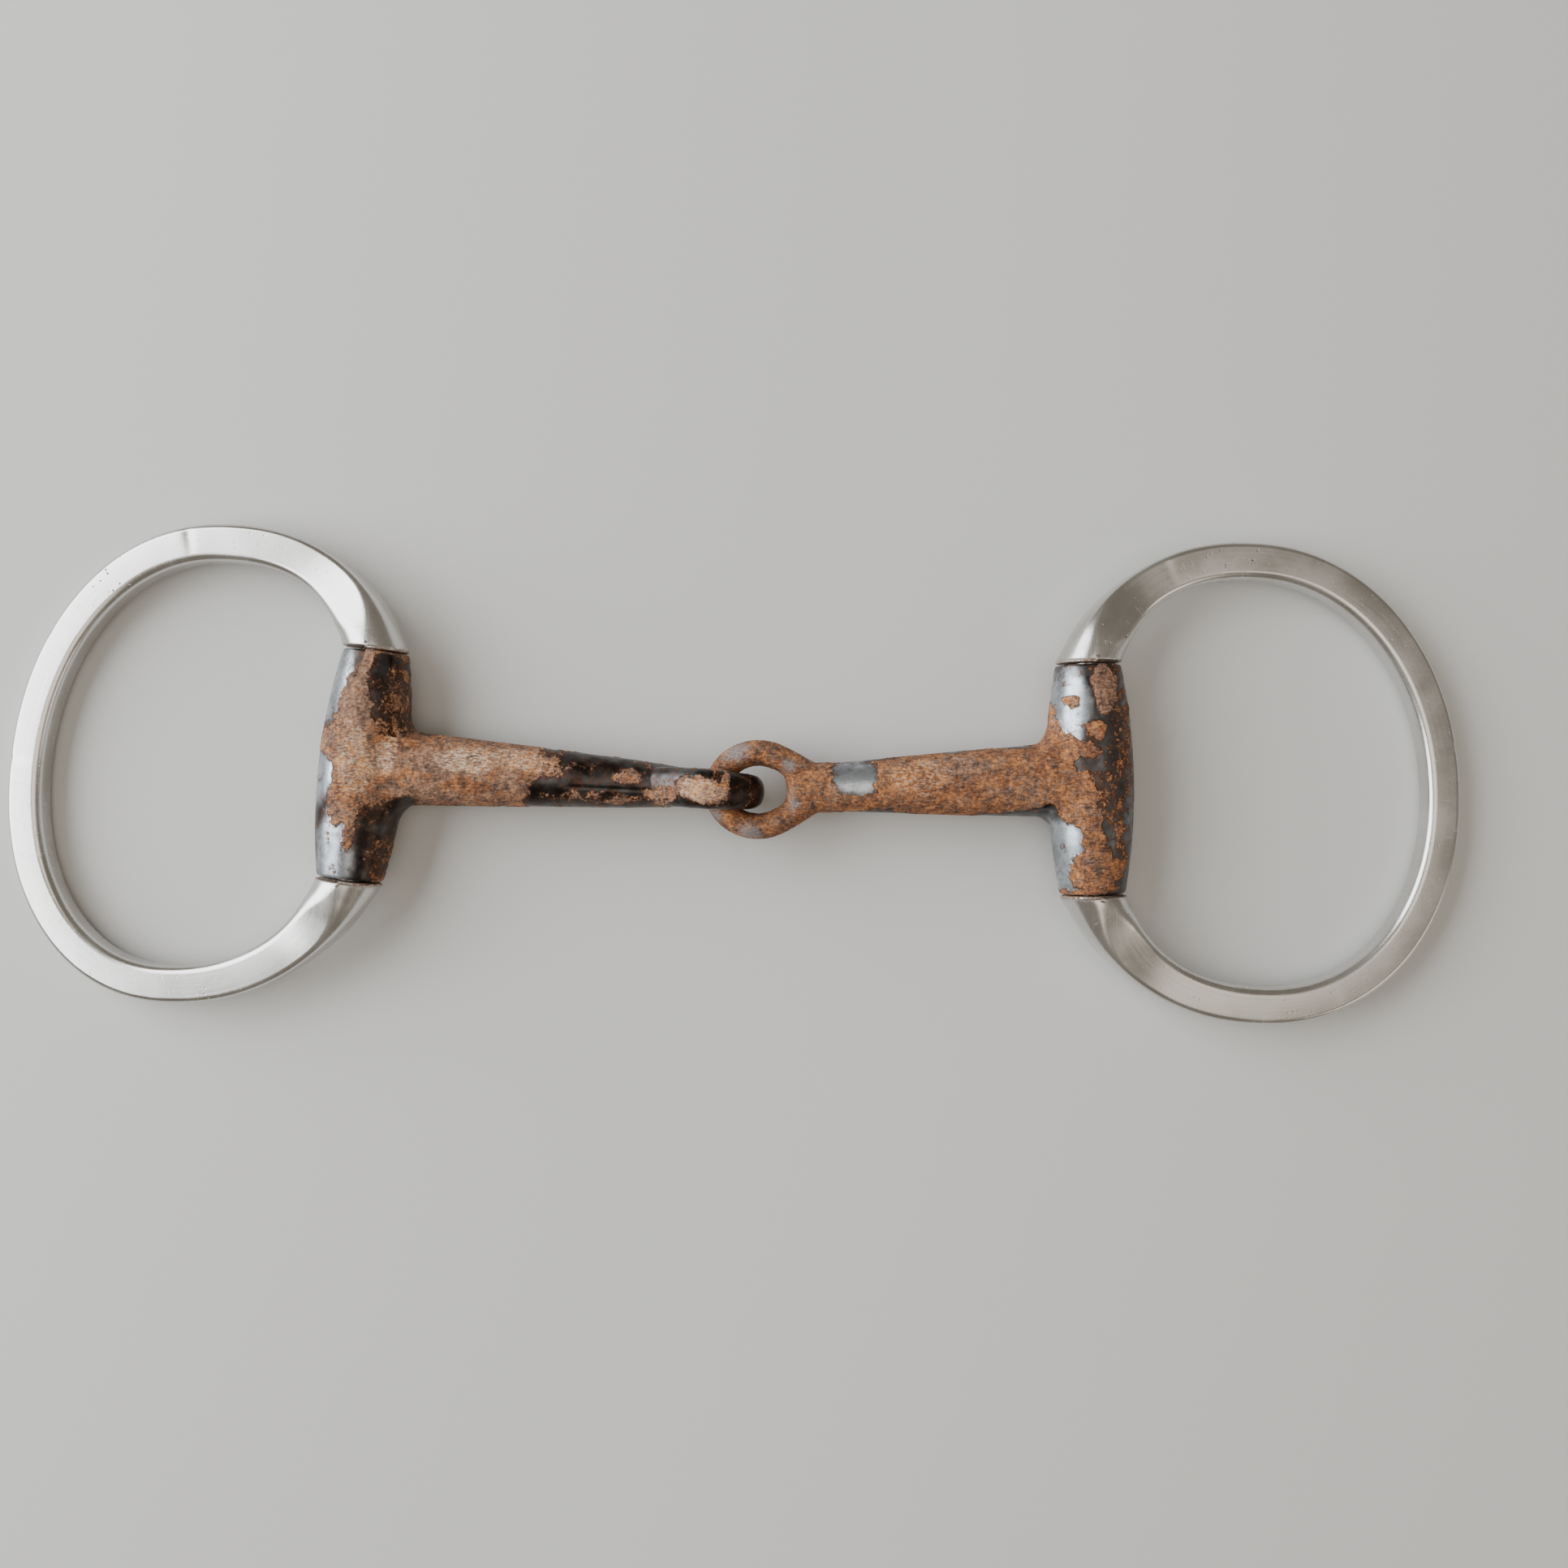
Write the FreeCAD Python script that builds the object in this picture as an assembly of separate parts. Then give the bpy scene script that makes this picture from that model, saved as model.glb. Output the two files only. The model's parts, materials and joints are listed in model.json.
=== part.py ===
import FreeCAD, Part
import math
import os

from FreeCAD import Placement, Rotation, Vector

# Single-jointed eggbutt snaffle bit, lying on a flat surface with its rings folded down.
# Millimetres. +X runs along the mouthpiece, +Y along the barrels, +Z up from the surface.
# The origin is under the centre of the whole bit's outline, on the surface.

# --- barrels and their hinge pins -----------------------------------------------------------

BARREL_LENGTH = 42.2
BARREL_END_DIAMETER = 12.2
BARREL_MIDDLE_DIAMETER = 16.2
BARREL_EDGE_ROUND = 0.5

PIN_DIAMETER = 5.0
PIN_SOCKET_DEPTH = 4.6
PIN_RUNNING_CLEARANCE = 0.06
RING_END_GAP = 0.25

# --- cannons: the round, tapering bars from barrel to eye -------------------------------------

CANNON_ROOT_DIAMETER = 13.8
NECK_DIAMETER = 9.3
NECK_FROM_TIP = 25.0
FILLET_SIZE = 2.2
FILLET_START = 1.0
FILLET_FADE = 1.5
END_ROUNDING = 1.5
END_SLIMMING = 0.85

# --- eyes: each is an oval loop of wire that grows out of the neck ----------------------------

EYE_BREADTH = 18.3
EYE_WIRE = 4.8
EYE_THICKNESS = 7.5
EYE_CROWN_THICKNESS = 6.4
EYE_HOLE_LENGTH = 10.3
EYE_SQUARENESS = 2.1
EYE_CROWN_FADE = 10.8
EYE_LOOP_HALF_TURN = 125
EYE_LOOP_STEP = 25
EYE_LEG_FROM_TIP = 24.0
EYE_LEG_OFFSET = 2.0
EYE_LEG_FADE = 7.0
EYE_LEG_SLIMMING = 0.78

# --- rings: flat bar bent to an egg shape, its ends swelling to meet the barrel ---------------

RING_HALF_HEIGHT = 41.2
RING_WIDEST_AT = 31.5
RING_NEAR_ROUNDNESS = 2.25
RING_FAR_ROUNDNESS = 2.1
RING_END_DIAMETER = 12.0
RING_SIDE_WIDTH = 7.4
RING_FAR_WIDTH = 6.3
RING_THICKNESS = 5.8
RING_SQUARENESS = 4.2
SHOULDER_WIDTH_FADE = 9.0
SHOULDER_WIDTH_POWER = 1.3
SHOULDER_THICKNESS_FADE = 11.0

# --- the two sides ----------------------------------------------------------------------------
# A turn is anticlockwise from above. A barrel's is measured from +Y, an arm's from +X.
# An arm's reach is from its barrel's axis to the tip of its eye, and a ring's is from the same
# axis to the middle of its far limb. A worn ring leans a little from square to its barrel, and
# its far limb is bent a little more along the barrel.

SIDES = {
    "left": {
        "barrel_at": (-68.4, 1.6),
        "barrel_turn": -6.75,
        "arm_turn": -3.95,
        "arm_reach": 74.5,
        "eye_stands": True,
        "outward": -1,
        "ring_reach": 63.4,
        "ring_lean": 6.75,
        "ring_bend": -1.2,
    },
    "right": {
        "barrel_at": (66.0, -1.0),
        "barrel_turn": 1.2,
        "arm_turn": 181.8,
        "arm_reach": 71.3,
        "eye_stands": False,
        "outward": 1,
        "ring_reach": 66.6,
        "ring_lean": 2.2,
        "ring_bend": 1.2,
    },
}

X, Y, Z = Vector(1, 0, 0), Vector(0, 1, 0), Vector(0, 0, 1)
BARREL_HEIGHT = BARREL_MIDDLE_DIAMETER / 2
EYE_HEIGHT = EYE_BREADTH / 2
EYE_CENTRE_FROM_TIP = EYE_WIRE + EYE_HOLE_LENGTH / 2
RING_END = BARREL_LENGTH / 2 + RING_END_GAP
ROUND = 2.0
SECTION_POINTS = 20
SECTION_PARAMETERS = [step / SECTION_POINTS for step in range(SECTION_POINTS + 1)]
CANNON_STATIONS = 33
EYE_STATIONS = 25
RING_STATIONS = 33
CANNON_BANDS = 2
EYE_BANDS = 4
RING_BANDS = 8
RING_PATH_STEPS = 32
OUTLINE_TOLERANCE = 0.01
TILT_HALVINGS = 50
STEEPEST_TILT = 0.5


def between(start, end, share):
    """The value a share of the way from start to end, held at the ends."""
    return start + (end - start) * min(max(share, 0.0), 1.0)


def oval(centre, across, up, half_across, half_up, squareness):
    """A closed curve round centre: an ellipse when squareness is ROUND, and boxier above it."""
    points = []
    for step in range(SECTION_POINTS):
        angle = 2 * math.pi * step / SECTION_POINTS
        c, s = math.cos(angle), math.sin(angle)
        spread = abs(c / half_across) ** squareness + abs(s / half_up) ** squareness
        radius = spread ** (-1 / squareness)
        points.append(centre + across * (radius * c) + up * (radius * s))
    curve = Part.BSplineCurve()
    curve.interpolate(Points=points, PeriodicFlag=True, Parameters=SECTION_PARAMETERS)
    return Part.Wire(curve.toShape())


def smooth_path(points):
    curve = Part.BSplineCurve()
    curve.interpolate(points)
    return curve.toShape()


def stations(path, count):
    """Evenly spaced places along a path: distance from its start, point and direction."""
    places = []
    for step in range(count):
        distance = path.Length * (step / (count - 1))
        parameter = path.getParameterByLength(distance)
        places.append((distance, path.valueAt(parameter), path.tangentAt(parameter)))
    return places


def skinned(sections, bands):
    """A solid with one smooth skin through the sections, divided along its length into bands."""
    skin = Part.makeLoft(sections, False).Faces[0].Surface
    u_first, u_last, v_first, v_last = skin.bounds()
    step = (v_last - v_first) / bands
    faces = [Part.Face(sections[0]), Part.Face(sections[-1])]
    for number in range(bands):
        band = skin.copy()
        start = v_first + step * number
        band.segment(u_first, u_last, start, start + step)
        faces.append(band.toShape())
    shell = Part.makeShell(faces)
    shell.sewShape()
    solid = Part.makeSolid(shell.Shells[0])
    if solid.Volume < 0:
        solid.reverse()
    return solid


def make_barrel():
    """The egg-shaped tube along Y, without its bore."""
    end, middle = BARREL_END_DIAMETER / 2, BARREL_MIDDLE_DIAMETER / 2
    half = BARREL_LENGTH / 2
    bulge = Part.Arc(Vector(end, -half, 0), Vector(middle, 0, 0), Vector(end, half, 0)).toShape()
    top = Part.makeLine(Vector(end, half, 0), Vector(0, half, 0))
    axis = Part.makeLine(Vector(0, half, 0), Vector(0, -half, 0))
    bottom = Part.makeLine(Vector(0, -half, 0), Vector(end, -half, 0))
    solid = Part.Face(Part.Wire([bulge, top, axis, bottom])).revolve(Vector(0, 0, 0), Y, 360)
    rims = [e for e in solid.Edges if abs(e.BoundBox.YLength) < 1e-6 and e.Length > end]
    return solid.makeFillet(BARREL_EDGE_ROUND, rims)


def make_bore():
    radius = PIN_DIAMETER / 2 + PIN_RUNNING_CLEARANCE
    return Part.makeCylinder(radius, 2 * BARREL_LENGTH, -Y * BARREL_LENGTH, Y)


def make_cannon(reach, eye_stands):
    """The tapering bar along X from inside the barrel to the edge of the eye's hole."""
    root, neck = CANNON_ROOT_DIAMETER / 2, NECK_DIAMETER / 2
    barrel_side = BARREL_MIDDLE_DIAMETER / 2
    neck_at = reach - NECK_FROM_TIP
    end = reach - EYE_WIRE - EYE_HOLE_LENGTH
    sections = []
    for step in range(CANNON_STATIONS):
        place = end * step / (CANNON_STATIONS - 1)
        radius = between(root, neck, (place - barrel_side) / (neck_at - barrel_side))
        flare = FILLET_SIZE * math.exp((barrel_side + FILLET_START - place) / FILLET_FADE)
        beside = min(radius + flare, root + FILLET_SIZE)
        flatter = between(radius, EYE_THICKNESS / 2, (place - neck_at) / (end - neck_at))
        rounding = between(END_SLIMMING, 1.0, (end - place) / END_ROUNDING)
        if eye_stands:
            half_y, half_z = min(beside, flatter + flare) * rounding, radius
        else:
            half_y, half_z = beside, flatter * rounding
        sections.append(oval(X * place, Y, Z, half_y, half_z, ROUND))
    return skinned(sections, CANNON_BANDS)


def make_eye(reach, eye_stands):
    """The loop of wire, from one side of the neck round the crown to the other side."""
    half_wire = EYE_WIRE / 2
    length = EYE_HOLE_LENGTH / 2 + half_wire
    breadth = EYE_BREADTH / 2 - half_wire
    centre = reach - EYE_CENTRE_FROM_TIP
    side = Z if eye_stands else Y
    flat = Y if eye_stands else Z
    in_neck = X * (reach - EYE_LEG_FROM_TIP)
    loop = [in_neck + side * EYE_LEG_OFFSET]
    for degrees in range(EYE_LOOP_HALF_TURN, -EYE_LOOP_HALF_TURN - 1, -EYE_LOOP_STEP):
        angle = math.radians(degrees)
        loop.append(X * (centre + length * math.cos(angle)) + side * (breadth * math.sin(angle)))
    loop.append(in_neck - side * EYE_LEG_OFFSET)
    path = smooth_path(loop)
    sections = []
    for distance, point, direction in stations(path, EYE_STATIONS):
        from_end = min(distance, path.Length - distance)
        from_crown = abs(distance - path.Length / 2)
        thickness = between(EYE_CROWN_THICKNESS, EYE_THICKNESS, from_crown / EYE_CROWN_FADE)
        slimming = between(EYE_LEG_SLIMMING, 1.0, from_end / EYE_LEG_FADE)
        wide, thick = half_wire * slimming, thickness / 2 * slimming
        sections.append(oval(point, direction.cross(flat), flat, wide, thick, EYE_SQUARENESS))
    return skinned(sections, EYE_BANDS)


def make_arm(side):
    """One arm where it lies: its barrel along the hinge axis and its cannon towards the joint."""
    x, y = side["barrel_at"]
    reach, stands = side["arm_reach"], side["eye_stands"]
    rise = math.degrees(math.asin((EYE_HEIGHT - BARREL_HEIGHT) / (reach - EYE_CENTRE_FROM_TIP)))
    at = Vector(x, y, BARREL_HEIGHT)
    barrel_place = Placement(at, Rotation(Z, side["barrel_turn"]))
    arm_place = Placement(at, Rotation(Z, side["arm_turn"]) * Rotation(Y, -rise))
    barrel, bore = make_barrel(), make_bore()
    cannon, eye = make_cannon(reach, stands), make_eye(reach, stands)
    for shape in (barrel, bore):
        shape.Placement = barrel_place
    for shape in (cannon, eye):
        shape.Placement = arm_place
    return barrel.fuse([cannon, eye]).cut(bore)


def ring_centre_line(side):
    """The middle of the ring's bar, from one end round the far limb to the other, in its plane."""
    reach, lean = side["ring_reach"], math.tan(math.radians(side["ring_lean"]))
    at_end = RING_END / RING_HALF_HEIGHT
    near = RING_WIDEST_AT / (1 - at_end**RING_NEAR_ROUNDNESS) ** (1 / RING_NEAR_ROUNDNESS)
    start = math.pi - math.asin(at_end ** (RING_NEAR_ROUNDNESS / 2))
    points = []
    for step in range(RING_PATH_STEPS + 1):
        angle = start * (1 - 2 * step / RING_PATH_STEPS)
        c, s = math.cos(angle), math.sin(angle)
        far_side = c > 0
        length = reach - RING_WIDEST_AT if far_side else near
        power = 2 / (RING_FAR_ROUNDNESS if far_side else RING_NEAR_ROUNDNESS)
        out = RING_WIDEST_AT + math.copysign(length * abs(c) ** power, c)
        along = math.copysign(RING_HALF_HEIGHT * abs(s) ** power, s)
        leaned = along - out * lean - side["ring_bend"] * (out / reach) ** 2
        points.append(Vector(side["outward"] * out, leaned, 0))
    return smooth_path(points)


def ring_section(distance, length):
    """Half width, half thickness and squareness of the bar at a distance from its nearer end."""
    far_share = 2 * distance / length
    body = between(RING_SIDE_WIDTH, RING_FAR_WIDTH, far_share) / 2
    swell = (RING_END_DIAMETER - RING_SIDE_WIDTH) / 2
    half_width = body + swell * math.exp(-((distance / SHOULDER_WIDTH_FADE) ** SHOULDER_WIDTH_POWER))
    thicken = (RING_END_DIAMETER - RING_THICKNESS) / 2
    fade = math.exp(-((distance / SHOULDER_THICKNESS_FADE) ** 2))
    squareness = RING_SQUARENESS - (RING_SQUARENESS - ROUND) * fade
    return half_width, RING_THICKNESS / 2 + thicken * fade, squareness


def ring_tilt():
    """How far a ring drops about its barrel until its far limb touches the surface, per side."""
    half_width, half_up = RING_FAR_WIDTH / 2, RING_THICKNESS / 2
    power = RING_SQUARENESS / (RING_SQUARENESS - 1)
    tilts = {}
    for name, side in SIDES.items():
        low, high = 0.0, STEEPEST_TILT
        for _ in range(TILT_HALVINGS):
            tilt = (low + high) / 2
            drop = side["ring_reach"] * math.sin(tilt)
            below = (half_width * math.sin(tilt)) ** power + (half_up * math.cos(tilt)) ** power
            if BARREL_HEIGHT - drop - below ** (1 / power) > 0:
                low = tilt
            else:
                high = tilt
        tilts[name] = math.degrees(tilt)
    return tilts


def make_pin():
    length = 2 * (RING_END + PIN_SOCKET_DEPTH)
    return Part.makeCylinder(PIN_DIAMETER / 2, length, -Y * (length / 2), Y)


def make_ring(side):
    """The C-shaped ring about its hinge axis, which is Y, with a socket in each end."""
    path = ring_centre_line(side)
    sections = []
    for distance, point, direction in stations(path, RING_STATIONS):
        nearer = min(distance, path.Length - distance)
        turned = min(nearer / SHOULDER_WIDTH_FADE, 1)
        facing = (Y * (1 - turned) + direction * turned).normalize()
        half_width, half_up, squareness = ring_section(nearer, path.Length)
        sections.append(oval(point, facing.cross(Z), Z, half_width, half_up, squareness))
    return skinned(sections, RING_BANDS).cut(make_pin())


def make_side(name):
    side = SIDES[name]
    x, y = side["barrel_at"]
    drop = side["outward"] * ring_tilt()[name]
    turn = Rotation(Z, side["barrel_turn"]) * Rotation(Y, drop)
    hinge = Placement(Vector(x, y, BARREL_HEIGHT), turn)
    ring, pin = make_ring(side), make_pin()
    ring.Placement = hinge
    pin.Placement = hinge
    return {
        name + "_mouthpiece_arm": make_arm(side),
        name + "_ring": ring,
        name + "_hinge_pin": pin,
    }


def middle(values):
    return (min(values) + max(values)) / 2


def main():
    nodes = {**make_side("left"), **make_side("right")}
    points = [point for shape in nodes.values() for point in shape.tessellate(OUTLINE_TOLERANCE)[0]]
    to_origin = Vector(-middle([p.x for p in points]), -middle([p.y for p in points]), 0)
    os.makedirs("parts", exist_ok=True)
    for name, shape in nodes.items():
        shape.translate(to_origin)
        shape.exportStep(f"parts/{name}.step")
        print(name, "valid" if shape.isValid() else "INVALID", len(shape.Solids), round(shape.Volume))
    print("moved to the origin by", to_origin)
    print("lowest point", min(p.z for p in points), "ring tilts", ring_tilt())


main()
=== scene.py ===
import json
import math

import bmesh
import bpy
import numpy as np
from mathutils import Matrix, Vector, noise

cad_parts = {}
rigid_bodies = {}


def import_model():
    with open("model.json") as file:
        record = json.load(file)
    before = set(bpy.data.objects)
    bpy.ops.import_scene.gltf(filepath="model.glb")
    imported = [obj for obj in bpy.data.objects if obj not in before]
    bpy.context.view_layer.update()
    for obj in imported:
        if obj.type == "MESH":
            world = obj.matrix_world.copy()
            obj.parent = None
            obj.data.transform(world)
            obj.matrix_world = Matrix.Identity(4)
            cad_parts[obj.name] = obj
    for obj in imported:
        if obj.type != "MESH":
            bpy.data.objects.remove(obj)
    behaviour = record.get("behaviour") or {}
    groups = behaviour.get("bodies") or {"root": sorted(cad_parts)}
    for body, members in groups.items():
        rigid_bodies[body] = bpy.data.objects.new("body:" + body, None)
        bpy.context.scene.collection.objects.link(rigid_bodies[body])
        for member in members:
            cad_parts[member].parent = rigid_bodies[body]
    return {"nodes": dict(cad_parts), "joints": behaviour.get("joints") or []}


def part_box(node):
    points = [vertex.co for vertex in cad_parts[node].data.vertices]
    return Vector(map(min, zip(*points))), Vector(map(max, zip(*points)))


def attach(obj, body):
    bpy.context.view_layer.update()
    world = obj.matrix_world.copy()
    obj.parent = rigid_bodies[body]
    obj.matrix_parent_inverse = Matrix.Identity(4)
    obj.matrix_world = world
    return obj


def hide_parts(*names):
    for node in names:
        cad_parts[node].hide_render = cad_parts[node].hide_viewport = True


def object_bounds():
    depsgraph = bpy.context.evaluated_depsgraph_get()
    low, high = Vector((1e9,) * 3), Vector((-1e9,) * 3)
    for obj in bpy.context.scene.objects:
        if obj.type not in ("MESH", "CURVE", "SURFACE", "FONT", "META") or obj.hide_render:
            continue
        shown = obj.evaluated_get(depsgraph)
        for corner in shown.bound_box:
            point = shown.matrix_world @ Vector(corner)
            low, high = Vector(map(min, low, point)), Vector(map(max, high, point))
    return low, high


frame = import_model()
cad_low, cad_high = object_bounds()

# The looks of a single-jointed eggbutt snaffle bit. Mesh work is in millimetres, on the frame's
# own axes, and finished_piece() brings each finished mesh to metres, once.

MM = 0.001
NOISE_SEED = 7
JOINTS = {joint["name"]: joint for joint in frame["joints"]}

# --- rings: flat bar with rounded edges, swelling to a round end at the barrel ------------------

RING_END = 21.35
RING_HALF_HEIGHT = 41.2
RING_WIDEST_AT = 31.5
RING_NEAR_ROUNDNESS = 2.25
RING_FAR_ROUNDNESS = 2.1
RING_END_DIAMETER = 12.0
RING_SIDE_WIDTH = 7.4
RING_FAR_WIDTH = 6.3
RING_THICKNESS = 5.8
RING_INNER_EDGE = 1.6
RING_OUTER_EDGE = 1.15
RING_END_BEVEL = 0.35
SHOULDER_WIDTH_FADE = 9.0
SHOULDER_WIDTH_POWER = 1.3
SHOULDER_THICKNESS_FADE = 11.0
SHOULDER_ROUND_FADE = 7.0
RING_STATIONS = 560
RING_QUARTER = 18
RING_SEAM_WAY = 0.1

# The skin lies a little inside the design's bar, apart from near the ends, which meet the barrel.
RING_INSET = 0.06
RING_WAVE = 0.018
RING_WAVE_CLOUD = (9.0, 2, 3)
RING_END_KEPT = 1.0
RING_END_BLENDED = 4.0
DENT_DEPTH = 0.16
DENT_RADIUS = 0.9
PITTED_EVERYWHERE = 0.12
PITTED_CORE = 0.4
STAIN_FADES = (1.1, 0.1)

# Each ring's own shape, then its dents (x, y) and its pitted places (x, y, radius).
RINGS = {
    "left_ring": {
        "joint": "left_ring_swing",
        "outward": -1,
        "reach": 63.4,
        "lean": 6.75,
        "bend": -1.2,
        "tilt": 4.631,
        "dents": [(-128.5, 27.0), (-134.6, 3.0), (-121.0, -33.5), (-101.0, 44.5)],
        "pitted": [(-116.0, 36.0, 7.0), (-93.0, -41.0, 6.0)],
    },
    "right_ring": {
        "joint": "right_ring_swing",
        "outward": 1,
        "reach": 66.6,
        "lean": 2.2,
        "bend": 1.2,
        "tilt": 4.412,
        "dents": [(133.4, 15.5), (135.4, 5.0), (129.0, -24.5), (112.0, -41.5), (80.0, 38.0)],
        "pitted": [(69.5, 25.5, 4.5), (92.0, 39.5, 8.0)],
    },
}

# --- mouthpiece arms: remeshed copies of the design's solids, with corroded skins ---------------

VOXEL = 0.2
SMOOTHING = 0.5
SKIN_ROUNDS = 6

# The design's cannon widens towards the barrel in a flare, which becomes a round hollow here.
BARREL_RADIUS = 8.1
CANNON_ROOT_RADIUS = 6.9
NECK_RADIUS = 4.65
NECK_FROM_BARREL = {"left_mouthpiece_arm": 49.5, "right_mouthpiece_arm": 46.3}
FLARE_SIZE = 2.2
FLARE_START = 1.0
FLARE_FADE = 1.5
HOLLOW_SIZE = 2.4
HOLLOW_LEAD = 0.3
HOLLOW_BEGINS = (7.3, 8.3)
HOLLOW_SIDES = (5.0, 6.5)
JUNCTION_FROM_AXIS = 9.0
JUNCTION_FADES = (3.4, 1.2)
JUNCTION_ENDS = (12, 9)
JUNCTION_ROUNDS = 90

# The opening of each eye ends in a round wall towards its own neck.
EYE_WALL_REACH = 0.4
EYE_WALL_FACING = 0.7
EYE_OPENING_LENGTH = 20
EYE_FADES = (5.0, 3.5)
EYE_ROUNDS = 200

BORE_RADIUS = 2.56
BORE_SKIN = 0.6
BORE_HALF_LENGTH = 20.8

# The skin's relief.
CRUST_HEIGHT = 0.13
CRUST_FADES = (0.35, 0.6)
GRAIN_HEIGHT = 0.10
GRAIN_CLOUD = (0.9, 2, 9)
PIT_DEPTH = 0.08
PIT_CLOUD = (1.6, 2, 10)
PIT_FADES = (0.35, 0.6)
CREASE_END = 0.15

# Clouds of variation in the skin: (size, octaves, seed), and how much each one counts.
UNDERSIDE_CLOUD = (7.0, 4, 5)
UNDERSIDE_RUST = (0.5, 0.9)
UNDERSIDE_FADES = (-0.15, -0.6)
RUST_STRENGTH = 1.2
RUST_CLOUD = (2.4, 5, 6)
RUST_CLOUD_SHARE = 0.34
RUST_SPOT_CLOUD = (0.8, 3, 11)
RUST_SPOT_SHARE = 0.24
TONE_CLOUD = (3.0, 3, 7)
TONE_CLOUD_SHARE = 0.25
BLUE_CLOUD = (3.0, 3, 8)
BLUE_CLOUD_SHARE = 0.15

# A stroke is (value, x, y, half length, half breadth, turn): it paints that value inside an
# ellipse, seen from above. Later strokes go over earlier ones. The wanders, which are (size,
# reach, seed), make the strokes' edges ragged. A layer's ground is its value without strokes.

STROKE_FADES = (1.3, 0.7)
EDGE_WANDERS = [(4.0, 1.1, 1), (1.1, 0.45, 2)]
GROUND = {"rust": 0.12, "pale": 0.1, "blue": 0.05}

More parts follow.
